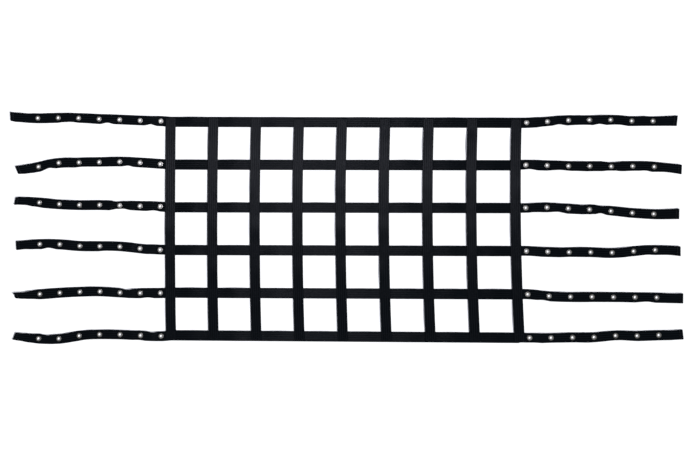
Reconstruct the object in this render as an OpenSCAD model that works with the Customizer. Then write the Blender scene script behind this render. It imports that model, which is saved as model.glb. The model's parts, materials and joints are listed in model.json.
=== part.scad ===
// Cargo climbing net made of flat webbing, laid out flat on a floor.
//
// Nine column straps lie on six row straps and are sewn to them at every crossing. Past the
// outer columns each row runs on as a lashing tail, left and right, with seven metal eyelets
// in it and a sewn hem at its end. Each tail folds up or down along a line just outside the
// outer column. Millimetres, X along the rows, Y along the columns, +Z up. The origin is on
// the floor, under the middle of the outline.

/* [Webbing] */
// Width of every strap
web_w = 51; // [44:1:56]
// Thickness of one layer of webbing
web_t = 2.2; // [1.8:0.1:2.8]

/* [Grid] */
// Distance between the centre lines of neighbouring columns
column_pitch = 212; // [180:1:260]
// Distance between the centre lines of neighbouring rows
row_pitch = 210; // [180:1:260]
// Length of a column past the centre line of the outermost rows
column_overrun = 20; // [10:1:24]

/* [Tails] */
// Distance from the outer column's centre line to the first eyelet
first_eyelet = 50; // [50:1:60]
// Usual distance between neighbouring eyelets
eyelet_pitch = 102; // [80:1:120]
// Length of the folded and sewn hem at the end of a tail
hem_l = 18; // [12:1:30]
// Distance from the outer column's edge to the line where the tail folds
fold_offset = 6; // [5.6:0.1:6.5]
// Clear distance from the fold line to the webbing on either side of it
fold_gap = 3.4; // [3:0.1:4]

/* [Eyelets] */
// Inner radius of the eyelet's barrel, which is the clear hole
bore_r = 6.35; // [5:0.05:7]
// Wall thickness of the barrel
barrel_wall = 0.65; // [0.5:0.05:1]
// Radius of the eyelet's flange and of the washer behind the webbing
flange_r = 12.5; // [11:0.1:14]
// Thickness of the flange on top of the webbing
flange_t = 0.9; // [0.6:0.1:1.2]
// Depth that the washer is pressed into the underside of the webbing
recess_t = 1; // [0.8:0.1:1.2]

/* [Stitching] */
// Side of the sewn square at each crossing
stitch_box = 36; // [28:1:40]
// Width of a line of stitches
stitch_w = 1.6; // [1:0.1:2.4]
// Height of the thread above the webbing
stitch_h = 0.4; // [0.2:0.1:0.8]

/* [Lay of the grid] */
// Sideways bow of the columns, half way up, against their ends
column_bow = 8; // [0:1:15]
// Sideways lean of the columns, from half way up to either end
column_lean = 4; // [-8:1:8]
// How far the outer columns lie to the right of an even spread
column_spread = 4; // [0:1:8]
// Extra lean of the outer columns towards the bottom corners
column_fan = 2; // [0:1:4]
// Drop of each row's right half against its middle
row_drop = 2; // [0:1:4]
// Extra drop of the top rows, taken off the bottom ones
row_fan = 3; // [0:1:5]
// How far the top left corner is pulled out to the left
corner_pull = 5; // [0:1:8]
// How far the middle of the top edge lies to the right of its usual place
top_shift = 2; // [0:1:4]

/* [Hidden] */
$fn = 64;
rows = 6;
columns = 9;
eyelets_per_tail = 7;
bite = 1; // how far a cutting tool runs past a face
gap = 0.1; // clearance between the barrel and the webbing or the washer

half_w = web_w / 2;
half_columns = (columns - 1) / 2;
half_rows = (rows - 1) / 2;
fold_x = half_w + fold_offset;
barrel_r = bore_r + barrel_wall;
lip_t = 0.35; // the barrel's end, rolled out under the washer
lip_r = barrel_r + 2.2;

// For each tail, from the top row down: how far its centre line lies above the row's own
// line at each of its seven eyelets, and at its end.
left_sway = [
    [4, 7, 12, 16, 21, 23, 22, 29],
    [3, 10, 15, 13, 12, 10, -9, -27],
    [4, 6, 9, 12, 12, 16, 24, 32],
    [1, 7, 16, 18, 19, 27, 28, 21],
    [-2, -3, -1, 4, 2, -3, -10, -14],
    [-4, -2, 2, 2, -5, -20, -20, -9],
];
right_sway = [
    [0, 5, 11, 12, 12, 6, 5, 6],
    [2, -1, -4, -5, -7, -6, -9, -20],
    [1, 3, -2, -7, -15, -24, -29, -28],
    [0, -3, -5, -5, -7, 0, 6, 2],
    [0, -8, -11, -11, -12, -12, -13, -15],
    [0, 1, 3, 5, 13, 13, 17, 20],
];
// The straps were punched and cut by hand, so these differ from tail to tail: how much further
// apart than eyelet_pitch the eyelets are, the free length past the last eyelet, and how much
// further the end's upper corner reaches than its middle.
left_spacing = [1.5, 0.5, -0.5, -1, -1, 0.5];
right_spacing = [-1, 0.5, 0, 0.5, 0.5, 0.5];
left_free = [140, 110, 125, 120, 130, 125];
right_free = [115, 130, 120, 120, 125, 115];
left_slant = [3, 6, -3, 0, 7, -7];
right_slant = [3, -1, 1, -1, 0, -2];

web_black = [0.11, 0.11, 0.13];
web_top_black = [0.15, 0.15, 0.17];
thread_black = [0.22, 0.22, 0.24];
nickel = [0.78, 0.78, 0.8];

// ---- Where the straps lie ----

// A place on the grid. u runs from -1 at the left column to 1 at the right one, and v from
// -1 at the bottom row to 1 at the top one.
function on_grid(u, v) = [
    half_columns * column_pitch * u + column_bow * v * v - column_lean * v
        + column_spread * u * u + column_fan * u * v * (v - 1)
        + pow((1 + v) / 2, 4) * (top_shift * (1 - u * u) - corner_pull * pow((1 - u) / 2, 5)),
    half_rows * row_pitch * v - u * (row_drop * (1 + v * v) + row_fan * v)
];
function row_v(i) = 1 - (i - 1) / half_rows;
function column_u(j) = (j - 1) / half_columns - 1;
function crossing(i, j) = on_grid(column_u(j), row_v(i));

function sway_of(side, i) = concat([0], side < 0 ? left_sway[i - 1] : right_sway[i - 1]);
function spacing_of(side, i) =
    eyelet_pitch + (side < 0 ? left_spacing[i - 1] : right_spacing[i - 1]);
function free_of(side, i) = side < 0 ? left_free[i - 1] : right_free[i - 1];
function slant_of(side, i) = side < 0 ? left_slant[i - 1] : right_slant[i - 1];
function eyelet_x(side, i, k) = first_eyelet + (k - 1) * spacing_of(side, i);
function tail_end(side, i) = eyelet_x(side, i, eyelets_per_tail) + free_of(side, i);

// The sway is given at stations: the outer crossing, the seven eyelets and the tail's end.
function station(side, i, n) =
    n == 0 ? 0 : n > eyelets_per_tail ? tail_end(side, i) : eyelet_x(side, i, n);
function station_before(side, i, x) =
    x < first_eyelet ? 0
    : min(eyelets_per_tail, 1 + floor((x - first_eyelet) / spacing_of(side, i)));
function slope(side, i, n) =
    let (a = max(n - 1, 0), b = min(n + 1, eyelets_per_tail + 1), sway = sway_of(side, i))
    (sway[b] - sway[a]) / (station(side, i, b) - station(side, i, a));

// A smooth curve through the stations, x being the distance from the outer crossing
function sway_at(side, i, x) =
    let (
        n = station_before(side, i, x),
        length = station(side, i, n + 1) - station(side, i, n),
        f = (x - station(side, i, n)) / length,
        sway = sway_of(side, i)
    )
    (2 * f - 3) * f * f * (sway[n] - sway[n + 1]) + sway[n]
        + f * (1 - f) * (1 - f) * length * slope(side, i, n)
        - f * f * (1 - f) * length * slope(side, i, n + 1);
function on_tail(side, i, x) = on_grid(side, row_v(i)) + [side * x, sway_at(side, i, x)];

// ---- Outlines of the straps, as seen from above ----

function run(from, to, steps) = [for (k = [0:steps]) from + (to - from) * k / steps];
function along(path, k) =
    let (d = path[min(k + 1, len(path) - 1)] - path[max(k - 1, 0)]) d / norm(d);
function across(path, k) = let (t = along(path, k)) [-t.y, t.x];

// A strap's outline along a path. The slant moves the corners of the path's last point, and
// those of its first one too if both_ends is set.
function ribbon(path, slant = 0, both_ends = false) =
    let (
        last = len(path) - 1,
        edge = function (side) [for (k = [0:last])
            path[k] + side * half_w * across(path, k)
                + (k == last || (both_ends && k == 0) ? side * slant * along(path, k) : [0, 0])]
    )
    concat(edge(1), [for (k = [0:last]) edge(-1)[last - k]]);

row_reach = 1 + (fold_x - fold_gap) / (half_columns * column_pitch);
column_reach = 1 + column_overrun / (half_rows * row_pitch);
function row_outline(i) =
    ribbon([for (u = run(-row_reach, row_reach, 32)) on_grid(u, row_v(i))]);
function column_outline(j) =
    ribbon([for (v = run(-column_reach, column_reach, 24)) on_grid(column_u(j), v)]);
function tail_outline(side, i) =
    ribbon(
        [for (x = run(fold_x + fold_gap, tail_end(side, i), 48)) on_tail(side, i, x)],
        side * slant_of(side, i)
    );
function hem_outline(side, i) =
    ribbon(
        [for (x = run(tail_end(side, i) - hem_l, tail_end(side, i), 2)) on_tail(side, i, x)],
        side * slant_of(side, i),
        both_ends = true
    );

// The middle of the whole outline, which the origin lies under
tail_points = [for (side = [-1, 1], i = [1:rows]) each tail_outline(side, i)];
edge_points = concat(tail_points, row_outline(1), row_outline(rows));
function middle(values) = (min(values) + max(values)) / 2;
centre = [middle([for (p = edge_points) p.x]), middle([for (p = edge_points) p.y])];

// ---- Profiles of the metal parts, radius by height ----

mouth_r = 0.6; // rounding where the flange turns into the barrel
flange_top = web_t + flange_t;
eyelet_profile = concat(
    [[bore_r, lip_t], [bore_r + 0.35, 0], [lip_r, 0], [lip_r, lip_t], [barrel_r, lip_t]],
    [[barrel_r, web_t], [flange_r - 0.2, web_t], [flange_r, web_t + 0.2]],
    [for (a = [0:30:90]) [flange_r - 0.5 + 0.5 * cos(a), flange_top - 0.5 + 0.5 * sin(a)]],
    [for (a = [90:30:180])
        [bore_r + mouth_r + mouth_r * cos(a), flange_top - mouth_r + mouth_r * sin(a)]]
);
washer_profile = [
    [barrel_r + gap, lip_t],
    [flange_r - 0.2, lip_t],
    [flange_r, lip_t + 0.2],
    [flange_r, recess_t],
    [barrel_r + gap, recess_t]
];

// ---- Sub-parts ----

module placed(point, z) {
    translate([point.x - centre.x, point.y - centre.y, z]) children();
}

module webbing(outline, z) {
    placed([0, 0], z) linear_extrude(web_t) polygon(outline);
}

module at_eyelets(side, i) {
    for (k = [1:eyelets_per_tail]) placed(on_tail(side, i, eyelet_x(side, i, k)), 0) children();
}

module row_strap(i) {
    color(web_black) webbing(row_outline(i), 0);
}

module column_strap(j) {
    color(web_top_black) webbing(column_outline(j), web_t);
}

// The tail with its hem folded over on top, a round hole for each eyelet, and a shallow
// recess under each one where the washer is pressed in
module tail(side, i) {
    color(web_black)
        difference() {
            union() {
                webbing(tail_outline(side, i), 0);
                webbing(hem_outline(side, i), web_t);
            }
            at_eyelets(side, i) {
                translate([0, 0, -bite]) cylinder(r = barrel_r + gap, h = web_t + 2 * bite);
                translate([0, 0, -bite]) cylinder(r = flange_r + gap, h = recess_t + bite);
            }
        }
}

module eyelets(side, i) {
    color(nickel) at_eyelets(side, i) rotate_extrude() polygon(eyelet_profile);
}

module washers(side, i) {
    color(nickel) at_eyelets(side, i) rotate_extrude() polygon(washer_profile);
}

// A sewn square with both diagonals, which fixes a column to the row beneath it
module stitch_square() {
    inside = stitch_box - 2 * stitch_w;
    linear_extrude(stitch_h) {
        difference() {
            square(stitch_box, center = true);
            square(inside, center = true);
        }
        for (a = [45, -45]) rotate(a) square([inside * sqrt(2), stitch_w], center = true);
    }
}

module stitching(i) {
    color(thread_black)
        for (j = [1:columns]) placed(crossing(i, j), 2 * web_t) stitch_square();
}

for (i = [1:rows]) row_strap(i);
for (j = [1:columns]) column_strap(j);
for (i = [1:rows]) tail(-1, i);
for (i = [1:rows]) tail(1, i);
for (i = [1:rows]) eyelets(-1, i);
for (i = [1:rows]) eyelets(1, i);
for (i = [1:rows]) washers(-1, i);
for (i = [1:rows]) washers(1, i);
for (i = [1:rows]) stitching(i);
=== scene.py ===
"""Looks of a cargo climbing net made of flat black webbing, built around its CAD frame.

Six row straps lie under nine column straps and are sewn to them at every crossing. Each row
goes on as a tail on the left and on the right, with seven metal eyelets and a sewn hem. The
straps are laid out on the floor. Metres, +X along the rows, +Y up the columns, +Z up.
"""

import json
import math

import bpy
import numpy as np
from mathutils import Matrix, Vector


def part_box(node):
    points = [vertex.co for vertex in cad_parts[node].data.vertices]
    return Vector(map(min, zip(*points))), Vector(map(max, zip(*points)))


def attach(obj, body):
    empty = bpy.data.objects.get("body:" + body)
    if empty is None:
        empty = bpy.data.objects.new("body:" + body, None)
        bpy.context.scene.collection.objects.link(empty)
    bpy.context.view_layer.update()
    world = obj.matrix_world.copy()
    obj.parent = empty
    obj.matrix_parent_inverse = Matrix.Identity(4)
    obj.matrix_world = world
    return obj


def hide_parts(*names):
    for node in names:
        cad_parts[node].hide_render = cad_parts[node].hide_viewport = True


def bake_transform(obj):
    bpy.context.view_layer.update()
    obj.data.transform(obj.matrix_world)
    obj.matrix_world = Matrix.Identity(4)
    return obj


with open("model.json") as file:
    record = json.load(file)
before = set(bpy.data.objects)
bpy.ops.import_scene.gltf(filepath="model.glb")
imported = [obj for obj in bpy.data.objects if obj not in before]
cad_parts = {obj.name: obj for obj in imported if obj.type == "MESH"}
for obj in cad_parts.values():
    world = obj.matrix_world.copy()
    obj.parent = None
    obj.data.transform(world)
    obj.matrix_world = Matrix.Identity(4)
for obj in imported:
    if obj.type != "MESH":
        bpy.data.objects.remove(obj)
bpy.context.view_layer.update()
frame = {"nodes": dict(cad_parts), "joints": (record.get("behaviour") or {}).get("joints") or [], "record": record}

MM = 0.001
ROWS = range(1, 7)
COLUMNS = range(1, 10)
EYELETS = range(1, 8)
SIDES = {"left": -1, "right": 1}

# ---- The webbing ----
HALF_WIDTH = 25.5 * MM
THICKNESS = 2.2 * MM
RIB = 2 * HALF_WIDTH / 5  # five woven ribs lie side by side across a strap
RIB_CROWN = 0.32 * MM
GROOVE_DEPTH = 0.55 * MM
ROLL_RADIUS = 5 * MM  # how tightly the edge of a loose tail rolls up
MAX_ROLL, ROLL_STEP = 225, 3  # degrees
RING_STEP = 7 * MM  # the usual distance between two rings of points along a strap
SEALED_END = 0.8 * MM  # the length of a cut end that its heat seal rounds off
SEALED_DEPTH = 0.3 * THICKNESS  # how far each face is rounded off there

# ---- The hem at a tail's end ----
HEM_LENGTH = 18 * MM
HEM_BEND = 2.4 * MM  # outside radius of the fold
HEM_PRESS = 0.35 * MM  # how much lower the stitches pull the folded layer
HEM_STITCH_LINES = (5 * MM, 14 * MM)  # from the tail's end
HEM_STITCH_MARGIN = 2.5 * MM  # between a line of stitches and the strap's edges

# ---- The eyelets ----
BORE_RADIUS = 6.35 * MM
BARREL_RADIUS = 7 * MM
FLANGE_RADIUS = 12.5 * MM
FLANGE_TOP = 3.1 * MM
LIP_RADIUS = 9.2 * MM
LIP_THICKNESS = 0.35 * MM
WASHER_TOP = 1 * MM  # the webbing is pressed up to this height by the washer
HOLE_RADIUS = 8.2 * MM  # hidden under the flange and the washer
PRESSED_RADIUS = 12.2 * MM  # up to here the metal presses the webbing flat
LOOSE_RADIUS = 15.5 * MM  # from here on the webbing has its own shape
PRESS_OVERLAP = 0.02 * MM  # how far the pressed webbing reaches into the metal
EYELET_SEGMENTS, WASHER_SEGMENTS = 64, 48

# ---- The stitching ----
STITCH_SQUARE = 34 * MM
STITCH_PITCH = 4 * MM
STITCH_LENGTH = 3.6 * MM
THREAD_WIDTH = 1.0 * MM
THREAD_FLATNESS = 0.8  # a pulled thread's height as a share of its width
STITCH_DIVE = 0.35 * THREAD_WIDTH  # how deep a stitch's ends go into the webbing
STITCH_END_AREA = 0.02  # of a stitch's cut end, as a share of its full section
THREAD_SIDES, THREAD_RINGS = 8, 9
DIAGONAL_INSET = 0.06  # share of a diagonal that is left free at either corner
CROSSING_STITCH_HEIGHT = 0.06 * MM  # of a thread's middle above the face that it is sewn into
HEM_STITCH_HEIGHT = 0.05 * MM  # the same, on the underside of a hem

# ---- The rings of points along a strap ----
# Half the length and the step of the stretches of a tail that need finer rings
EYELET_RINGS = (LOOSE_RADIUS + MM, 2 * MM)
FOLD_RINGS = (5 * MM, 0.7 * MM)
HEM_RINGS = (6 * MM, 0.75 * MM)
HEM_RINGS_MIDDLE = 3 * MM  # from the start of the hem's bend
TINY = 1e-6

# ---- The way the loose tails lie ----
# How far the edges draw in where they roll up off the floor, in millimetres: the distance from
# the outer crossing, and how far the upper and the lower edge draw in there.
DRAWN_IN = {
    ("left", 1): [(70, 0, 0), (100, 1, 8), (130, 0, 1), (280, 0, 1), (317, 0, 8), (355, 0, 0),
                  (455, 0, 1), (502, 0, 5), (540, 0, 3), (570, 0, 0), (685, 1, 0), (715, 4, 0),
                  (785, 1, 1), (805, 0, 4)],
    ("left", 2): [(70, 0, 1), (180, 0, 1), (210, 0, 7), (250, 0, 1), (440, 0, 3), (480, 1, 0),
                  (580, 0, 0), (615, 0, 8), (660, 0, 0), (700, 3, 0), (740, 3, 1), (775, 2, 5)],
    ("left", 3): [(50, 1, 0), (82, 0, 5), (120, 0, 1), (190, 0, 3), (235, 2, 10), (265, 7, 8),
                  (305, 1, 0), (500, 2, 0), (560, 2, 0), (640, 0, 0), (690, 0, 4), (725, 0, 9),
                  (760, 1, 9), (785, 6, 7)],
    ("left", 4): [(80, 0, 1), (120, 2, 0), (195, 0, 2), (320, 0, 3), (360, 0, 0), (570, 0, 0),
                  (611, 0, 7), (650, 0, 0), (700, 0, 1), (735, 2, 4), (775, 2, 2)],
    ("left", 5): [(80, 0, 0), (112, 0, 4), (150, 0, 0), (180, 3, 0), (213, 10, 0), (260, 1, 1),
                  (400, 0, 1), (620, 0, 0), (660, 0, 0), (705, 7, 3), (745, 13, 5), (785, 14, 8)],
    ("left", 6): [(60, 2, 0), (92, 8, 0), (130, 1, 0), (160, 0, 3), (200, 2, 1), (330, 1, 1),
                  (420, 0, 3), (470, 0, 0), (520, 2, 0), (580, 2, 0), (622, 7, 0), (665, 0, 0),
                  (720, 4, 2), (755, 6, 6), (795, 6, 8)],
    ("right", 1): [(100, 0, 0), (135, 1, 2), (165, 0, 3), (203, 0, 8), (245, 0, 0), (330, 3, 1),
                   (370, 3, 0), (398, 2, 5), (435, 1, 0), (495, 0, 3), (540, 2, 0), (615, 0, 1),
                   (650, 3, 1), (770, 0, 0)],
    ("right", 2): [(40, 0, 2), (68, 0, 5), (105, 0, 0), (150, 0, 0), (218, 0, 5), (270, 1, 1),
                   (345, 1, 0), (410, 0, 1), (450, 5, 5), (475, 4, 5), (510, 0, 1), (590, 0, 3),
                   (620, 0, 5), (655, 0, 0), (725, 3, 3), (790, 4, 0)],
    ("right", 3): [(60, 3, 1), (85, 2, 3), (145, 0, 1), (205, 2, 6), (250, 1, 0), (325, 5, 0),
                   (355, 0, 1), (380, 0, 4), (410, 4, 11), (445, 0, 4), (480, 0, 3), (560, 1, 1),
                   (670, 2, 0), (780, 0, 0)],
    ("right", 4): [(60, 0, 2), (120, 2, 0), (170, 2, 0), (215, 3, 0), (265, 0, 2), (345, 0, 1),
                   (420, 2, 0), (500, 3, 0), (525, 3, 0), (560, 0, 1), (622, 0, 4), (665, 1, 1),
                   (735, 1, 3), (785, 2, 0)],
    ("right", 5): [(90, 0, 1), (125, 1, 4), (160, 2, 0), (230, 3, 0), (330, 1, 0), (480, 0, 1),
                   (560, 1, 0), (622, 1, 5), (660, 1, 0), (745, 4, 0), (795, 1, 0)],
    ("right", 6): [(60, 1, 2), (110, 3, 0), (180, 2, 1), (240, 0, 1), (330, 1, 0), (480, 0, 3),
                   (560, 1, 0), (650, 1, 0), (725, 3, 0), (780, 0, 2)],
}
# How high a tail stands off the floor half way to each eyelet in turn, and at its end, in
# millimetres. It lies flat at the eyelets, which weigh it down.
TAIL_HUMPS = {
    ("left", 1): [0, 0.9, 0.4, 1.2, 0.6, 1.6, 0.5, 0.9],
    ("left", 2): [0, 0.5, 1.1, 0.3, 0.7, 1.3, 1.8, 1.4],
    ("left", 3): [0, 0.7, 0.8, 1.4, 0.4, 1.1, 1.2, 0.6],
    ("left", 4): [0, 0.6, 1.6, 0.7, 0.4, 1.7, 1.0, 0.8],
    ("left", 5): [0, 0.4, 0.9, 1.3, 1.1, 0.5, 1.5, 0.7],
    ("left", 6): [0, 1.3, 0.5, 1.0, 1.7, 0.8, 0.6, 1.0],
    ("right", 1): [0, 0.8, 1.4, 0.5, 1.1, 0.7, 1.4, 1.8],
    ("right", 2): [0, 1.5, 0.4, 1.1, 0.8, 0.5, 1.3, 0.7],
    ("right", 3): [0, 0.5, 1.2, 0.7, 1.4, 1.0, 0.4, 2.4],
    ("right", 4): [0, 1.1, 0.6, 1.6, 0.4, 1.3, 0.9, 1.6],
    ("right", 5): [0, 0.7, 1.7, 0.5, 1.0, 1.2, 0.7, 2.0],
    ("right", 6): [0, 1.4, 0.8, 1.1, 1.6, 0.5, 1.1, 1.3],
}


# ---- Places taken from the CAD frame ----


def node_plan(node):
    """A CAD node's points as seen from above."""
    return np.array([vertex.co[:2] for vertex in frame["nodes"][node].data.vertices])


def crossings(row):
    """The centres of a row's sewn squares, from left to right."""
    points = node_plan(f"stitching_row_{row}")
    points = points[np.argsort(points[:, 0])]
    between_squares = np.nonzero(np.diff(points[:, 0]) > 2 * HALF_WIDTH)[0] + 1
    return np.array([(s.min(0) + s.max(0)) / 2 for s in np.split(points, between_squares)])


CROSSINGS = np.array([crossings(row) for row in ROWS])
MOUNTS = {mount["name"]: mount for mount in frame["record"]["mounts"]}
JOINTS = {joint["name"]: joint for joint in frame["joints"]}


def eyelet_places(side, row):
    """The centres of a tail's eyelets in plan, from the hinge outwards."""
    names = [f"eyelet_{side}_{row}_{k}" for k in EYELETS]
    return np.array([MOUNTS[name]["pos_m"][:2] for name in names])


def tail_corners(side, row):
    """The upper and the lower corner of a tail's end."""
    points = node_plan(f"tail_{side}_{row}")
    outermost = points[np.argmax(SIDES[side] * points[:, 0])]
    opposite = points[np.abs(points[:, 1] - outermost[1]) > 1.5 * HALF_WIDTH]
    other = opposite[np.argmax(SIDES[side] * opposite[:, 0])]
    return sorted([outermost, other], key=lambda corner: -corner[1])


# ---- Curves ----


def smooth(t):
    """From 0 to 1 as t goes from 0 to 1, level at both ends and beyond them."""
    t = np.clip(t, 0, 1)
    return t * t * (3 - 2 * t)


def through(stations, values):
    """A function that runs smoothly through values, and level at each of them."""
    stations, values = np.asarray(stations, float), np.asarray(values, float)

    def at(x):
        k = np.clip(np.searchsorted(stations, x) - 1, 0, len(stations) - 2)
        share = smooth((x - stations[k]) / (stations[k + 1] - stations[k]))
        return values[k] + share * (values[k + 1] - values[k])

    return at


class Path:
    """A smooth line in plan through some points, measured along its own length.

    left is 1 if the strap's w axis points to the left of its direction, and -1 if it points to
    the right, so that w can point up the floor on the tails of both sides.
    """

    def __init__(self, points, left=1):
        points = np.asarray(points, float)
        knots = np.append(0, np.cumsum(np.linalg.norm(np.diff(points, axis=0), axis=1)))
        before = np.maximum(np.arange(len(knots)) - 1, 0)
        after = np.minimum(np.arange(len(knots)) + 1, len(knots) - 1)
        slopes = (points[after] - points[before]) / (knots[after] - knots[before])[:, None]
        fine = np.linspace(0, knots[-1], int(knots[-1] / MM) + 1)
        k = np.clip(np.searchsorted(knots, fine, side="right") - 1, 0, len(knots) - 2)
        span = (knots[k + 1] - knots[k])[:, None]
        f = (fine - knots[k])[:, None] / span
        self.points = (
            points[k]
            + f * f * (3 - 2 * f) * (points[k + 1] - points[k])
            + f * (1 - f) * (1 - f) * span * slopes[k]
            - f * f * (1 - f) * span * slopes[k + 1]
        )
        steps = np.linalg.norm(np.diff(self.points, axis=0), axis=1)
        self.reached = np.append(0, np.cumsum(steps))
        self.length = self.reached[-1]
        along = np.gradient(self.points, self.reached, axis=0)
        self.along = along / np.linalg.norm(along, axis=1)[:, None]
        self.left = left

    def distance_to(self, point):
        """How far along the path its nearest place to a point lies."""
        return self.reached[np.argmin(np.linalg.norm(self.points - point, axis=1))]

    def at(self, distance):
        """Places and w axes at some distances, straight on past either end."""
        inside = np.clip(distance, 0, self.length)
        place, along = (
            np.stack([np.interp(inside, self.reached, column) for column in values.T], -1)
            for values in (self.points, self.along)
        )
        along /= np.linalg.norm(along, axis=-1)[..., None]
        across = self.left * np.stack([-along[..., 1], along[..., 0]], -1)
        return place + (distance - inside)[..., None] * along, across


# ---- Meshes ----


def make_object(name, points, faces, uv, material):
    """A smooth-shaded mesh object from lists of corners. uv holds two numbers for each point."""
    mesh = bpy.data.meshes.new(name)
    mesh.from_pydata(points.tolist(), [], faces)
    corner_points = np.empty(len(mesh.loops), np.int32)
    mesh.loops.foreach_get("vertex_index", corner_points)
    layer = mesh.uv_layers.new(name="surface")
    layer.data.foreach_set("uv", uv[corner_points].astype(np.float32).ravel())
    mesh.polygons.foreach_set("use_smooth", np.ones(len(mesh.polygons), bool))
    mesh.materials.append(material)
    mesh.validate()
    obj = bpy.data.objects.new(name, mesh)
    bpy.context.scene.collection.objects.link(obj)
    return obj


# Widths of a strip that rolls up through an angle, and how much narrower each makes the strap
ROLL_ANGLES = np.radians(np.arange(0, MAX_ROLL + 1, ROLL_STEP))
ROLL_STRIPS = ROLL_RADIUS * ROLL_ANGLES
ROLL_DRAWS_IN = ROLL_STRIPS - ROLL_RADIUS * np.sin(np.minimum(ROLL_ANGLES, math.pi / 2))


class Strap:
    """A strip of webbing that lies along a path.

    A place on it is s, the distance along the cut strip, w, the distance across it towards the
    path's w axis, and h, the height above its underside. The others are functions of the
    distance along the path: lift, the height of the underside, drawn_in, how far the +w and the
    -w edge draw in because they roll up, and tilt, the angle at which the strap leans over.
    With a hem, the strap is folded over at its end. slant is how much further the end reaches at
    the +w edge than in the middle.
    """

    def __init__(self, path, lift, drawn_in=None, tilt=None, hem=False, slant=0.0):
        self.path, self.lift, self.slant = path, lift, slant
        self.drawn_in, self.tilt = drawn_in, tilt
        self.turn_at = path.length - HEM_BEND if hem else None
        self.length = path.length
        if hem:
            self.length = self.turn_at + math.pi * HEM_BEND + HEM_LENGTH - HEM_BEND

    def side_view(self, s):
        """Distance along the path, height in the stack of layers, and turn of the hem's fold."""
        if self.turn_at is None:
            return s, np.zeros_like(s), np.zeros_like(s)
        turn = np.clip((s - self.turn_at) / HEM_BEND, 0, math.pi)
        back = np.maximum(s - self.turn_at - math.pi * HEM_BEND, 0)
        distance = np.minimum(s, self.turn_at) + HEM_BEND * np.sin(turn) - back
        pressed = HEM_PRESS * smooth(back / (HEM_LENGTH - HEM_BEND))
        return distance, HEM_BEND * (1 - np.cos(turn)) - pressed, turn

    def place(self, s, w, h):
        """The point at a place on the strap."""
        distance, height, turn = self.side_view(s)
        return self.place_in_stack(distance - h * np.sin(turn), w, height + h * np.cos(turn))

    def place_in_stack(self, distance, w, height):
        """A point at a height above the lowest layer's underside."""
        flat = HALF_WIDTH
        if self.drawn_in:
            narrower = np.where(w > 0, self.drawn_in[0](distance), self.drawn_in[1](distance))
            flat = HALF_WIDTH - np.interp(narrower, ROLL_DRAWS_IN, ROLL_STRIPS)
        roll = np.maximum(np.abs(w) - flat, 0) / ROLL_RADIUS
        reach = np.minimum(np.abs(w), flat) + (ROLL_RADIUS - height) * np.sin(roll)
        z = ROLL_RADIUS - (ROLL_RADIUS - height) * np.cos(roll) + self.lift(distance)
        if self.tilt:
            angle = self.tilt(distance)
            z = z + HALF_WIDTH * np.abs(np.sin(angle)) + np.sign(w) * reach * np.sin(angle)
            reach = reach * np.cos(angle)
        # A slanted end shears the strap from three hem lengths to one hem length before it.
        near_end = smooth((distance - self.path.length + 3 * HEM_LENGTH) / (2 * HEM_LENGTH))
        sheared = distance + self.slant * w / HALF_WIDTH * near_end
        plan, across = self.path.at(sheared)
        plan = plan + (np.sign(w) * reach)[..., None] * across
        return np.concatenate([plan, z[..., None]], -1)


def ring_positions(start, end, fine):
    """Distances from start to end. fine holds (centre, half length, step) of finer stretches."""
    positions = [start, start + SEALED_END]
    while positions[-1] < end - SEALED_END:
        here = positions[-1]
        steps = [step for centre, half, step in fine if abs(here - centre) < half]
        ahead = [c - half - here for c, half, _ in fine if c - half > here + TINY]
        step = min(steps or [max(min([RING_STEP, *ahead]), MM)])
        positions.append(min(here + step, end - SEALED_END))
    return np.array([*positions, end])


def rib_section():
    """Places across the strap, and how far the surface lies below a rib's crown at each."""
    middles = RIB * np.arange(-2, 3)
    inside = (middles[:, None] + RIB * np.array([-0.43, -0.22, 0, 0.22, 0.43])).ravel()
    across = np.sort(np.concatenate([inside, middles[:-1] + RIB / 2]))
    from_middle = np.abs((across + RIB / 2) % RIB - RIB / 2) / (RIB / 2)
    depth = RIB_CROWN * from_middle**2
    depth[from_middle > 0.99] = GROOVE_DEPTH
    depth[[0, -1]] = GROOVE_DEPTH
    return across, depth


def punch(s, w, top, bottom, hole):
    """Press a strap's faces together around a hole, and pull the nearest points onto its rim.

    s, w, top and bottom are changed in place. The cells that the hole takes away are returned.
    """
    away = np.hypot(s - hole, w)
    pressed = 1 - smooth((away - PRESSED_RADIUS) / (LOOSE_RADIUS - PRESSED_RADIUS))
    top += pressed * (THICKNESS + PRESS_OVERLAP - top)
    bottom += pressed * (WASHER_TOP - PRESS_OVERLAP - bottom)
    middle_s = (s[1:, 1:] + s[:-1, :-1]) / 2 - hole
    middle_w = (w[1:, 1:] + w[:-1, :-1]) / 2
    cut = np.hypot(middle_s, middle_w) < HOLE_RADIUS
    touched = np.zeros(s.shape, bool)
    for a in (slice(0, -1), slice(1, None)):
        for b in (slice(0, -1), slice(1, None)):
            touched[a, b] |= cut
    scale = HOLE_RADIUS / np.maximum(away[touched], TINY)
    s[touched] = hole + (s[touched] - hole) * scale
    w[touched] *= scale
    return cut


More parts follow.
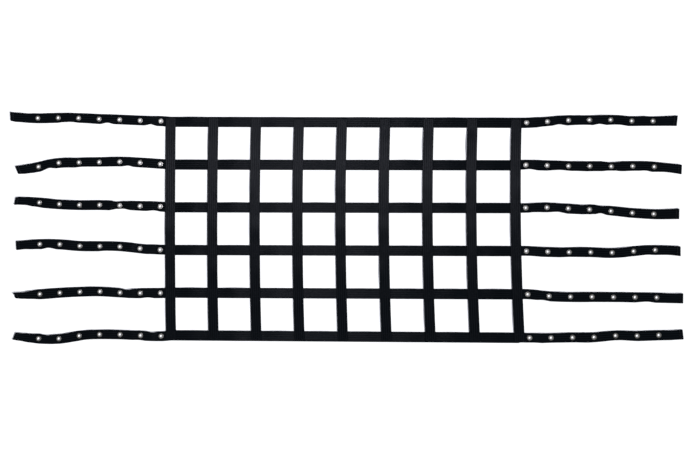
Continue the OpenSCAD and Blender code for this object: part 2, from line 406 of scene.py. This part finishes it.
def strap_faces(kept):
    """Faces of a strap, from the cells of its grid that no hole takes away.

    Its points are those of the upper face, those of the lower face, and one for each ring at
    the -w edge and at the +w edge.
    """
    count, wide = kept.shape[0] + 1, kept.shape[1] + 1
    index = np.arange(count * wide).reshape(count, wide)
    under = index + count * wide
    edge = 2 * count * wide + np.arange(2 * count).reshape(2, count)
    cells = np.stack([index[:-1, :-1], index[1:, :-1], index[1:, 1:], index[:-1, 1:]], -1)
    faces = cells[kept].tolist() + (cells[kept] + count * wide)[:, ::-1].tolist()
    for e, column in ((0, 0), (1, wide - 1)):
        for a, b in zip(range(count - 1), range(1, count)):
            upper = [index[a, column], index[b, column], edge[e, b], edge[e, a]]
            lower = [edge[e, a], edge[e, b], under[b, column], under[a, column]]
            faces += [upper, lower] if e else [upper[::-1], lower[::-1]]
    for k in (0, count - 1):
        cap = [
            [index[k, j], index[k, j + 1], under[k, j + 1], under[k, j]] for j in range(wide - 1)
        ]
        cap += [[index[k, 0], under[k, 0], edge[0, k]]]
        cap += [[index[k, -1], edge[1, k], under[k, -1]]]
        faces += cap if k else [face[::-1] for face in cap]
    for a, b in np.argwhere(~kept):
        corners = [(a, b), (a + 1, b), (a + 1, b + 1), (a, b + 1)]
        beyond = [(a, b - 1), (a + 1, b), (a, b + 1), (a - 1, b)]
        for n, neighbour in enumerate(beyond):
            if kept[neighbour]:
                p, q = corners[n], corners[(n + 1) % 4]
                faces.append([index[p], index[q], under[q], under[p]])
    return faces


def webbing(name, strap, material, rings, holes=()):
    """A strap as one closed mesh: two ribbed faces, rounded edges, sealed ends and holes."""
    across, depth = rib_section()
    s, w = np.meshgrid(rings, across, indexing="ij")
    top = np.broadcast_to(THICKNESS - depth, s.shape).copy()
    bottom = np.broadcast_to(depth, s.shape).copy()
    for k in (0, -1):
        top[k] -= SEALED_DEPTH
        bottom[k] += SEALED_DEPTH
    kept = np.ones((len(rings) - 1, len(across) - 1), bool)
    for hole in holes:
        kept &= ~punch(s, w, top, bottom, hole)

    # Only the points that a face uses are kept.
    faces = strap_faces(kept)
    corners = np.concatenate([np.ravel(face) for face in faces])
    used, corners = np.unique(corners, return_inverse=True)
    sizes = np.cumsum([len(face) for face in faces])[:-1]
    faces = [face.tolist() for face in np.split(corners, sizes)]
    if strap.path.left < 0:
        faces = [face[::-1] for face in faces]
    edge_s = np.stack([rings, rings])
    edge_w = np.array([[-HALF_WIDTH], [HALF_WIDTH]]) * np.ones_like(edge_s)
    edge_h = np.full(edge_s.size, THICKNESS / 2)
    every_s = np.concatenate([s.ravel(), s.ravel(), edge_s.ravel()])[used]
    every_w = np.concatenate([w.ravel(), w.ravel(), edge_w.ravel()])[used]
    every_h = np.concatenate([top.ravel(), bottom.ravel(), edge_h])[used]
    points = strap.place(every_s, every_w, every_h)
    return make_object(name, points, faces, np.stack([every_s, every_w], -1), material)


def lathe(name, profile, centres, segments, material):
    """A closed profile of radius and height, turned about a vertical axis at each centre."""
    profile = np.asarray(profile)
    count = len(profile)
    turn = 2 * math.pi * np.arange(segments) / segments
    ring = np.stack([np.cos(turn), np.sin(turn)], -1)
    plan = ring[:, None, :] * profile[None, :, :1]
    one = np.concatenate([plan, np.broadcast_to(profile[:, 1:], (segments, count, 1))], -1)
    shifts = np.concatenate([centres, np.zeros((len(centres), 1))], -1)
    points = (one.reshape(1, -1, 3) + shifts[:, None, :]).reshape(-1, 3)
    index = np.arange(segments * count).reshape(segments, count)
    onward, beside = np.roll(index, -1, 0), np.roll(index, -1, 1)
    quads = np.stack([index, onward, np.roll(onward, -1, 1), beside], -1).reshape(-1, 4)
    starts = segments * count * np.arange(len(centres))
    faces = (quads[None] + starts[:, None, None]).reshape(-1, 4).tolist()
    lengths = np.append(0, np.cumsum(np.linalg.norm(np.diff(profile, axis=0), axis=1)))
    u, v = np.meshgrid(turn / (2 * math.pi), lengths, indexing="ij")
    uv = np.tile(np.stack([u, v], -1).reshape(-1, 2), (len(centres), 1))
    return make_object(name, points, faces, uv, material)


def stitches(name, starts, ends, normals, material):
    """Short lengths of thread that dive into the webbing at both ends."""
    sides, t = THREAD_SIDES, np.linspace(-1, 1, THREAD_RINGS)
    turn = 2 * math.pi * np.arange(sides) / sides
    radius = THREAD_WIDTH / 2 * np.sqrt(np.clip(1 - t**6, STITCH_END_AREA, 1))
    dive = -STITCH_DIVE * t**4
    beside = radius[:, None] * np.cos(turn)
    above = THREAD_FLATNESS * radius[:, None] * np.sin(turn) + dive[:, None]
    middles, halves = (starts + ends) / 2, (ends - starts) / 2
    direction = halves / np.linalg.norm(halves, axis=1)[:, None]
    sideways = np.cross(normals, direction)
    points = (
        middles[:, None, None]
        + t[None, :, None, None] * halves[:, None, None]
        + beside[None, :, :, None] * sideways[:, None, None]
        + above[None, :, :, None] * normals[:, None, None]
    )
    index = np.arange(len(t) * sides).reshape(len(t), sides)
    turned = np.roll(index, -1, 1)
    quads = np.stack([index[:-1], turned[:-1], turned[1:], index[1:]], -1).reshape(-1, 4)
    one = quads.tolist() + [index[0, ::-1].tolist(), index[-1].tolist()]
    offsets = len(t) * sides * np.arange(len(starts))
    faces = [[corner + offset for corner in face] for offset in offsets.tolist() for face in one]
    u, v = np.meshgrid((t + 1) / 2 * STITCH_LENGTH, turn / (2 * math.pi), indexing="ij")
    uv = np.tile(np.stack([u, v], -1).reshape(-1, 2), (len(starts), 1))
    return make_object(name, points.reshape(-1, 3), faces, uv, material)


# ---- Materials ----


def new_material(name, **settings):
    """A material with one Principled shader. settings are its plain socket values."""
    material = bpy.data.materials.new(name)
    material.use_nodes = True
    shader = material.node_tree.nodes["Principled BSDF"]
    for socket, value in settings.items():
        shader.inputs[socket.replace("_", " ")].default_value = value
    return material, material.node_tree, shader


def add_node(tree, kind, inputs=None, **settings):
    """A node whose inputs are set to a number or colour, or linked to another node's output."""
    node = tree.nodes.new(kind)
    for name, value in settings.items():
        setattr(node, name, value)
    for key, value in (inputs or {}).items():
        if isinstance(value, bpy.types.NodeSocket):
            tree.links.new(value, node.inputs[key])
        else:
            node.inputs[key].default_value = value
    return node


def calculate(tree, operation, a, b=0.0):
    return add_node(tree, "ShaderNodeMath", {0: a, 1: b}, operation=operation).outputs[0]


def weighted_sum(tree, first, *others):
    """The sum of some values, each given with the number that it is multiplied by."""
    total = calculate(tree, "MULTIPLY", *first)
    for value, weight in others:
        total = calculate(tree, "ADD", total, calculate(tree, "MULTIPLY", value, weight))
    return total


def surface_axes(tree):
    """The two numbers of the surface UV map.

    They are the distances along and across a strap, the distance along a stitch and the share
    of a turn around it, or the share of a turn around an eyelet and the distance along its
    profile. Distances are in metres.
    """
    uv = add_node(tree, "ShaderNodeUVMap", uv_map="surface")
    axes = add_node(tree, "ShaderNodeSeparateXYZ", {0: uv.outputs[0]})
    return axes.outputs[0], axes.outputs[1]


def noise(tree, scale, detail, vector=None):
    """A number from 0 to 1 that changes from place to place, scale times in a metre."""
    if vector is None:
        vector = add_node(tree, "ShaderNodeTexCoord").outputs["Object"]
    inputs = {"Scale": scale, "Detail": detail, "Roughness": NOISE_ROUGHNESS, "Vector": vector}
    return add_node(tree, "ShaderNodeTexNoise", inputs).outputs["Fac"]


def shades(tree, factor, dark, light, low=0.3, high=0.7):
    """A colour that goes from dark to light as factor goes from low to high."""
    ramp = add_node(tree, "ShaderNodeValToRGB", {0: factor})
    ramp.color_ramp.elements[0].position = low
    ramp.color_ramp.elements[0].color = (*dark, 1)
    ramp.color_ramp.elements[1].position = high
    ramp.color_ramp.elements[1].color = (*light, 1)
    return ramp.outputs[0]


def between(tree, factor, low, high):
    """A number from low to high as factor goes from 0 to 1. It doesn't go beyond them."""
    node = add_node(tree, "ShaderNodeMapRange", {"Value": factor, "To Min": low, "To Max": high})
    return node.outputs[0]


def share_of_wave(tree, wave):
    """A number from 0 to 1 out of a sine or cosine."""
    return calculate(tree, "ADD", calculate(tree, "MULTIPLY", wave, 0.5), 0.5)


def add_bump(tree, shader, strength, distance, height):
    """Shade the surface as if height, times a distance, stood out of it."""
    inputs = {"Strength": strength, "Distance": distance, "Height": height}
    bump = add_node(tree, "ShaderNodeBump", inputs)
    tree.links.new(bump.outputs[0], shader.inputs["Normal"])


YARN = 1.25 * MM  # width of one warp yarn
PICK = 2.2 * MM  # length over which a yarn goes up and down once
PLY = 1.1 * MM  # length over which the sewing thread's strands go round once
TURNING_MARK = 0.45 * MM  # distance between two turning marks on the metal
STREAKS_ALONG, STREAKS_ACROSS = 30.0, 700.0  # changes of the webbing's streaks in a metre
NOISE_ROUGHNESS = 0.55


def webbing_material(name, dark, light, specular):
    """Ribbed polyester webbing: yarns that run lengthwise and dip under the picks by turns.

    The yarns are bundles of straight filaments, so the sheen spreads across the strap and stays
    narrow along it.
    """
    material, tree, shader = new_material(
        name, Specular_IOR_Level=specular, Anisotropic=0.8, Anisotropic_Rotation=0.25
    )
    tangent = add_node(tree, "ShaderNodeTangent", direction_type="UV_MAP", uv_map="surface")
    tree.links.new(tangent.outputs[0], shader.inputs["Tangent"])
    along, across = surface_axes(tree)
    yarns = calculate(tree, "DIVIDE", across, YARN)
    yarn = calculate(tree, "SINE", calculate(tree, "MULTIPLY", yarns, math.pi))
    yarn = calculate(tree, "ABSOLUTE", yarn)
    odd = calculate(tree, "FLOORED_MODULO", calculate(tree, "FLOOR", yarns), 2.0)
    phase = calculate(tree, "MULTIPLY", odd, 0.5)
    phase = calculate(tree, "ADD", calculate(tree, "DIVIDE", along, PICK), phase)
    dip = calculate(tree, "COSINE", calculate(tree, "MULTIPLY", phase, 2 * math.pi))
    weave = calculate(tree, "MULTIPLY", yarn, between(tree, share_of_wave(tree, dip), 0.45, 1.0))

    long_way = calculate(tree, "MULTIPLY", along, STREAKS_ALONG)
    short_way = calculate(tree, "MULTIPLY", across, STREAKS_ACROSS)
    stretched = add_node(tree, "ShaderNodeCombineXYZ", {0: long_way, 1: short_way})
    streaks = noise(tree, 1.0, 2.0, stretched.outputs[0])
    wear = noise(tree, 9.0, 5.0)
    # Painted highlight and shade: the base colour is lighter on each rib's crown and darker in the grooves between
    # the ribs, standing in for the light that the ribs catch.
    rib = calculate(tree, "COSINE", calculate(tree, "MULTIPLY", across, 2 * math.pi / RIB))
    painted_rib_shading = calculate(tree, "POWER", share_of_wave(tree, rib), 2.0)
    # weave also paints shade here, darker in the gaps between the yarns and where they dip, on top of its bump.
    # streaks and wear are the webbing's own random tone.
    tone = weighted_sum(tree, (painted_rib_shading, 0.45), (streaks, 0.3), (wear, 0.2), (weave, 0.08))
    tree.links.new(shades(tree, tone, dark, light, 0.25, 0.8), shader.inputs["Base Color"])
    tree.links.new(between(tree, streaks, 0.28, 0.42), shader.inputs["Roughness"])

    fuzz = noise(tree, 2200.0, 2.0)
    add_bump(tree, shader, 0.6, 0.1 * MM, weighted_sum(tree, (weave, 1.0), (fuzz, 0.25)))
    return material


def thread_material():
    """Twisted black polyester thread."""
    material, tree, shader = new_material("thread", Specular_IOR_Level=0.12)
    along, around = surface_axes(tree)
    turns = calculate(tree, "ADD", calculate(tree, "DIVIDE", along, PLY), around)
    strands = calculate(tree, "SINE", calculate(tree, "MULTIPLY", turns, 4 * math.pi))
    worn = noise(tree, 60.0, 3.0)
    colour = shades(tree, worn, (0.003, 0.0035, 0.0045), (0.011, 0.012, 0.014))
    tree.links.new(colour, shader.inputs["Base Color"])
    tree.links.new(between(tree, worn, 0.35, 0.55), shader.inputs["Roughness"])
    add_bump(tree, shader, 0.6, 0.1 * MM, strands)
    return material


def metal_material(name, dark, light, roughness):
    """Nickel plate with fine turning marks, small scratches, duller patches and shallow dents."""
    material, tree, shader = new_material(name, Metallic=1.0)
    _, outward = surface_axes(tree)
    patches = noise(tree, 180.0, 4.0)
    scratches = noise(tree, 1400.0, 2.0)
    dents = noise(tree, 150.0, 1.0)
    marks = calculate(tree, "MULTIPLY", outward, 2 * math.pi / TURNING_MARK)
    marks = calculate(tree, "SINE", marks)
    tree.links.new(shades(tree, patches, dark, light), shader.inputs["Base Color"])
    # between() stops at its upper number, so the metal shines only where both noises are low.
    dullness = weighted_sum(tree, (patches, 0.5), (scratches, 0.5))
    dullness = calculate(tree, "ADD", dullness, 0.5)
    dullness = between(tree, dullness, roughness - 0.08, roughness + 0.12)
    tree.links.new(dullness, shader.inputs["Roughness"])
    height = weighted_sum(tree, (marks, 0.3), (scratches, 1.0), (dents, 50.0))
    add_bump(tree, shader, 0.25, 0.05 * MM, height)
    return material


def floor_material():
    material, tree, shader = new_material("studio_floor", Specular_IOR_Level=0.1, Roughness=0.9)
    colour = shades(tree, noise(tree, 3.0, 2.0), (0.9, 0.9, 0.9), (0.93, 0.93, 0.93))
    tree.links.new(colour, shader.inputs["Base Color"])
    return material


ROW_WEBBING = webbing_material("webbing", (0.0001, 0.0004, 0.0009), (0.0037, 0.0055, 0.0078), 0.09)
# Painted sheen: the columns get a lighter copy of the same webbing with a little more specular, because they catch
# more of the light than the rows.
COLUMN_WEBBING_PAINTED_SHEEN = webbing_material(
    "webbing_columns", (0.0002, 0.0005, 0.0011), (0.0046, 0.0063, 0.0088), 0.105
)
THREAD = thread_material()
EYELET_METAL = metal_material("eyelet_metal", (0.40, 0.38, 0.34), (0.56, 0.53, 0.47), 0.22)
WASHER_METAL = metal_material("washer_metal", (0.42, 0.40, 0.36), (0.55, 0.52, 0.46), 0.34)


# ---- Straps ----

CROSSING_REACH = HALF_WIDTH + 3 * MM  # a strap lies level this far on both sides of a crossing
# Bounds of the random heights in millimetres and of the random leans in degrees that the straps
# have between two crossings, and what is added to a strap's number for the seed
ROW_HUMPS, ROW_HUMP_SEED = (0, 1.2), 10
COLUMN_HUMPS, COLUMN_HUMP_SEED = (-1.2, 1), 30
LEANS, ROW_LEAN_SEED, COLUMN_LEAN_SEED = (-2.5, 2.5), 50, 70
# How many degrees more a column leans over to one side between the two top rows
TOP_TILT = {7: 4, 8: 3.5, 9: 3.5}


def between_crossings(path, places, at_crossings, values):
    """A function that is level by each crossing, and reaches its own value between two of them."""
    stations, reached = [], []
    for k, place in enumerate(places):
        distance = path.distance_to(place)
        stations += [distance - CROSSING_REACH, distance + CROSSING_REACH]
        reached += [at_crossings, at_crossings]
        if k < len(places) - 1:
            stations.append((distance + path.distance_to(places[k + 1])) / 2)
            reached.append(at_crossings + values[k])
    return through(stations, reached)


def scattered(seed, count, bounds):
    """Some random numbers between two bounds, the same ones for the same seed."""
    return np.random.default_rng(seed).uniform(*bounds, count)


def row_piece(row):
    places = CROSSINGS[row - 1]
    path = Path(places)
    gaps = len(places) - 1
    humps = MM * scattered(ROW_HUMP_SEED + row, gaps, ROW_HUMPS)
    lift = between_crossings(path, places, 0, humps)
    angles = scattered(ROW_LEAN_SEED + row, gaps, LEANS)
    tilt = between_crossings(path, places, 0, np.radians(angles))
    strap = Strap(path, lift, tilt=tilt)
    rings = ring_positions(0, path.length, [])
    piece = webbing(f"row_webbing_{row}", strap, ROW_WEBBING, rings)
    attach(piece, "net")
    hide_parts(f"row_strap_{row}")


def column_piece(column):
    places = CROSSINGS[::-1, column - 1]
    low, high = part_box(f"column_strap_{column}")
    path = Path(places)
    # The strap runs on by the same length past both outer crossings, up to its ends in the CAD.
    run_on = (high.y - low.y - path.length) / 2
    along = path.along[[0, -1]]
    path = Path([places[0] - run_on * along[0], *places, places[-1] + run_on * along[1]])
    gaps = len(places) - 1
    humps = MM * scattered(COLUMN_HUMP_SEED + column, gaps, COLUMN_HUMPS)
    lift = between_crossings(path, places, THICKNESS, humps)
    angles = scattered(COLUMN_LEAN_SEED + column, gaps, LEANS)
    angles[-1] += TOP_TILT.get(column, 0)
    tilt = between_crossings(path, places, 0, np.radians(angles))
    strap = Strap(path, lift, tilt=tilt)
    rings = ring_positions(0, path.length, [])
    piece = webbing(f"column_webbing_{column}", strap, COLUMN_WEBBING_PAINTED_SHEEN, rings)
    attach(piece, "net")
    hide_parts(f"column_strap_{column}")


def tail_strap(side, row):
    """The strap of a tail, and the places of its eyelets."""
    outer = CROSSINGS[row - 1, 0 if side == "left" else -1]
    corners = tail_corners(side, row)
    eyelets = eyelet_places(side, row)
    path = Path([outer, *eyelets, (corners[0] + corners[1]) / 2], left=SIDES[side])
    slant = np.dot(corners[0] - corners[1], path.along[-1]) / 2
    humps = TAIL_HUMPS[side, row]
    stations, values = [0], [0]
    for k, eyelet in enumerate(eyelets):
        distance = path.distance_to(eyelet)
        if k:
            stations.append((stations[-1] + distance - LOOSE_RADIUS) / 2)
            values.append(humps[k] * MM)
        stations += [distance - LOOSE_RADIUS, distance + LOOSE_RADIUS]
        values += [0, 0]
    stations.append(path.length)
    values.append(humps[-1] * MM)
    at, upper, lower = np.array(DRAWN_IN[side, row], float).T * MM
    drawn_in = (through(at, upper), through(at, lower))
    return Strap(path, through(stations, values), drawn_in, hem=True, slant=slant), eyelets


def tail_piece(side, row, strap, eyelets):
    holes = [strap.path.distance_to(eyelet) for eyelet in eyelets]
    hinge = np.array(JOINTS[f"tail_{side}_{row}_fold"]["pos_m"])
    fold = strap.path.distance_to(hinge[:2])
    fine = [(hole, *EYELET_RINGS) for hole in holes]
    fine += [(fold, *FOLD_RINGS), (strap.turn_at + HEM_RINGS_MIDDLE, *HEM_RINGS)]
    rings = ring_positions(0, strap.length, fine)
    piece = webbing(f"tail_webbing_{side}_{row}", strap, ROW_WEBBING, rings, holes)
    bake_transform(piece)
    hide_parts(f"tail_{side}_{row}")
    return piece


# ---- Eyelets and washers ----


def arc(centre, radius, start, end, steps=5):
    """Points on an arc, by angle in degrees."""
    angles = np.radians(np.linspace(start, end, steps))
    return [(centre[0] + radius * math.cos(a), centre[1] + radius * math.sin(a)) for a in angles]


def eyelet_profile():
    """Up the inside of the barrel, out over the domed flange and back under the rolled lip."""
    mouth, rim, lip = 0.65 * MM, 0.35 * MM, 0.17 * MM
    droop = 0.10 * MM  # how much lower the flange is at its rim
    inner, outer = BORE_RADIUS + mouth, FLANGE_RADIUS - rim
    dome = [
        (r, FLANGE_TOP - droop * ((r - inner) / (outer - inner)) ** 2)
        for r in np.linspace(inner, outer, 6)[1:-1]
    ]
    return [
        (BORE_RADIUS, 1.2 * MM),
        *arc((inner, FLANGE_TOP - mouth), mouth, 180, 90),
        *dome,
        *arc((outer, FLANGE_TOP - droop - rim), rim, 90, 0),
        (FLANGE_RADIUS, THICKNESS + 0.1 * MM),
        (FLANGE_RADIUS - 0.15 * MM, THICKNESS),
        (BARREL_RADIUS, THICKNESS),
        (BARREL_RADIUS, LIP_THICKNESS),
        *arc((LIP_RADIUS - lip, lip), lip, 90, -90),
        *arc((BORE_RADIUS + LIP_THICKNESS, LIP_THICKNESS), LIP_THICKNESS, 270, 180),
    ]


def washer_profile():
    """Up the inside of the ring, out over its top and back along the bevel underneath."""
    rim = 0.3 * MM
    inner, outer = BARREL_RADIUS + 0.15 * MM, FLANGE_RADIUS
    return [
        (inner, LIP_THICKNESS),
        (inner, WASHER_TOP),
        (outer - rim, WASHER_TOP),
        *arc((outer - rim, WASHER_TOP - rim), rim, 90, -30),
        (outer - 1.2 * MM, LIP_THICKNESS),
    ]


def metal_pieces(side, row, eyelets):
    body = f"tail_{side}_{row}_body"
    profile, segments = eyelet_profile()[::-1], EYELET_SEGMENTS
    eyelet_set = lathe(f"eyelet_set_{side}_{row}", profile, eyelets, segments, EYELET_METAL)
    profile, segments = washer_profile()[::-1], WASHER_SEGMENTS
    washers = lathe(f"washer_set_{side}_{row}", profile, eyelets, segments, WASHER_METAL)
    for piece, node, slot in (
        (eyelet_set, f"eyelets_{side}_{row}", "eyelet_metal"),
        (washers, f"washers_{side}_{row}", "washer_metal"),
    ):
        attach(piece, body)
        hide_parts(node)
    return [eyelet_set, washers]


# ---- Stitching ----


def stitch_ends(start, end):
    """Starts and ends of the stitches in a straight line of them."""
    start, end = np.asarray(start, float), np.asarray(end, float)
    length = np.linalg.norm(end - start)
    direction = (end - start) / length
    count = round(length / STITCH_PITCH)
    middles = length * (np.arange(count) + 0.5) / count
    reach = STITCH_LENGTH / 2
    return (
        start + (middles - reach)[:, None] * direction,
        start + (middles + reach)[:, None] * direction,
    )


def square_stitches(centre):
    """Plan of a sewn square with both diagonals."""
    half = STITCH_SQUARE / 2
    corners = centre + half * np.array([[-1, -1], [1, -1], [1, 1], [-1, 1]])
    lines = [(corners[k], corners[(k + 1) % 4]) for k in range(4)]
    for a, b in ((0, 2), (1, 3)):
        inset = DIAGONAL_INSET * (corners[b] - corners[a])
        lines.append((corners[a] + inset, corners[b] - inset))
    ends = [stitch_ends(a, b) for a, b in lines]
    return np.concatenate([e[0] for e in ends]), np.concatenate([e[1] for e in ends])


def at_height(plan, z):
    return np.concatenate([plan, np.full((len(plan), 1), z)], -1)


def crossing_stitches(row):
    """The sewn squares of a row, on the column straps and under the row strap."""
    faces = ((2 * THICKNESS + CROSSING_STITCH_HEIGHT, 1), (CROSSING_STITCH_HEIGHT, -1))
    starts, ends, normals = [], [], []
    for centre in CROSSINGS[row - 1]:
        start, end = square_stitches(centre)
        for z, up in faces:
            starts.append(at_height(start, z))
            ends.append(at_height(end, z))
            normals.append(np.tile([0.0, 0.0, up], (len(start), 1)))
    arrays = [np.concatenate(values) for values in (starts, ends, normals)]
    piece = stitches(f"crossing_stitches_{row}", *arrays, THREAD)
    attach(piece, "net")
    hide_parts(f"stitching_row_{row}")


def hem_stitches(side, row, strap):
    """Two lines of stitches across a tail's hem, on both faces."""
    faces = ((2 * HEM_BEND - HEM_PRESS / 2, 1), (HEM_STITCH_HEIGHT, -1))
    edge = HALF_WIDTH - HEM_STITCH_MARGIN
    outwards = 0.1 * MM  # a short way out of the face, which gives its normal
    starts, ends, normals = [], [], []
    for line in HEM_STITCH_LINES:
        distance = strap.path.length - line
        start, end = stitch_ends([distance, -edge], [distance, edge])
        for height, up in faces:
            level = np.full(len(start), height)
            starts.append(strap.place_in_stack(start[:, 0], start[:, 1], level))
            ends.append(strap.place_in_stack(end[:, 0], end[:, 1], level))
            middle = (start + end) / 2
            here = strap.place_in_stack(middle[:, 0], middle[:, 1], level)
            above = strap.place_in_stack(middle[:, 0], middle[:, 1], level + up * outwards)
            normals.append((above - here) / np.linalg.norm(above - here, axis=1)[:, None])
    arrays = [np.concatenate(values) for values in (starts, ends, normals)]
    piece = stitches(f"hem_stitches_{side}_{row}", *arrays, THREAD)
    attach(piece, f"tail_{side}_{row}_body")
    return piece


# ---- Studio ----

WHITE = (1, 1, 1)
ROOM_LIGHT = (0.19, 0.20, 0.21)
KEY = 4.35  # watts per square metre
KEY_PLACE, KEY_TARGET = (4.2, -2.4, 4.0), (0, 0, 0)
KEY_SPREAD = math.radians(16)
GLOW = 60.0  # watts
GLOW_PLACE, GLOW_TARGET = (-0.5, 0.86, 5.0), (-0.1, 0.35, 0)
GLOW_COLOUR = (0.94, 0.94, 1.10)
GLOW_SIZE = 0.8  # metres, along either side of a square

FLOOR_REACH = 60.0  # so far that its edge can't be told from the horizon in a low view
FLOOR_LEVEL = -0.4 * MM  # just under the stitches on the straps' undersides

# Rounded from a fit of the net to the photo
CAMERA_PLACE, CAMERA_TARGET = Vector((0.3175, -0.162, 5.0)), Vector((0.0448, -0.0242, 0))
CAMERA_UP = Vector((-0.002, 1, 0))  # +Y but for a trace
SENSOR_WIDTH, FOCAL_LENGTH = 36, 52.744  # millimetres


def make_floor():
    mesh = bpy.data.meshes.new("floor")
    square = ((-1, -1), (1, -1), (1, 1), (-1, 1))
    corners = [(FLOOR_REACH * x, FLOOR_REACH * y, FLOOR_LEVEL) for x, y in square]
    mesh.from_pydata(corners, [], [(0, 1, 2, 3)])
    mesh.materials.append(floor_material())
    floor = bpy.data.objects.new("floor", mesh)
    bpy.context.scene.collection.objects.link(floor)
    return floor


def add_light(name, kind, place, target, energy, colour, **settings):
    """A light that stands at a place and shines towards a target."""
    light = bpy.data.lights.new(name, kind)
    light.energy = energy
    light.color = colour
    for setting, value in settings.items():
        setattr(light, setting, value)
    lamp = bpy.data.objects.new(name, light)
    lamp.location = place
    lamp.rotation_euler = (Vector(target) - Vector(place)).to_track_quat("-Z", "Y").to_euler()
    bpy.context.scene.collection.objects.link(lamp)
    return lamp


def make_lights():
    """An even light on the floor, a dim room, and a softbox that the webbing's sheen reflects.

    The room is white where the camera sees it.
    """
    world = bpy.data.worlds.new("studio")
    world.use_nodes = True
    tree = world.node_tree
    seen = add_node(tree, "ShaderNodeLightPath").outputs["Is Camera Ray"]
    colour = shades(tree, seen, ROOM_LIGHT, WHITE, 0, 1)
    tree.links.new(colour, tree.nodes["Background"].inputs["Color"])
    bpy.context.scene.world = world
    key = add_light("key", "SUN", KEY_PLACE, KEY_TARGET, KEY, WHITE, angle=KEY_SPREAD)
    key.visible_glossy = False
    shape = {"shape": "RECTANGLE", "size": GLOW_SIZE, "size_y": GLOW_SIZE}
    add_light("softbox", "AREA", GLOW_PLACE, GLOW_TARGET, GLOW, GLOW_COLOUR, **shape)


def make_camera():
    """A camera that looks almost straight down at the net, with +Y up in the picture."""
    camera = bpy.data.cameras.new("camera")
    camera.sensor_width = SENSOR_WIDTH
    camera.lens = FOCAL_LENGTH
    camera.clip_start, camera.clip_end = 0.1, 100
    holder = bpy.data.objects.new("camera", camera)
    back = (CAMERA_PLACE - CAMERA_TARGET).normalized()
    right = CAMERA_UP.cross(back).normalized()
    turn = Matrix((right, back.cross(right), back)).transposed()
    holder.matrix_world = Matrix.Translation(CAMERA_PLACE) @ turn.to_4x4()
    bpy.context.scene.collection.objects.link(holder)
    bpy.context.scene.camera = holder


make_camera()
make_lights()
FLOOR = make_floor()
bpy.context.scene.view_settings.view_transform = "Standard"

for number in ROWS:
    row_piece(number)
for number in COLUMNS:
    column_piece(number)
for number in ROWS:
    crossing_stitches(number)
for tail_side in SIDES:
    for number in ROWS:
        tail, tail_eyelets = tail_strap(tail_side, number)
        tail_object = tail_piece(tail_side, number, tail, tail_eyelets)
        on_tail = metal_pieces(tail_side, number, tail_eyelets)
        on_tail.append(hem_stitches(tail_side, number, tail))
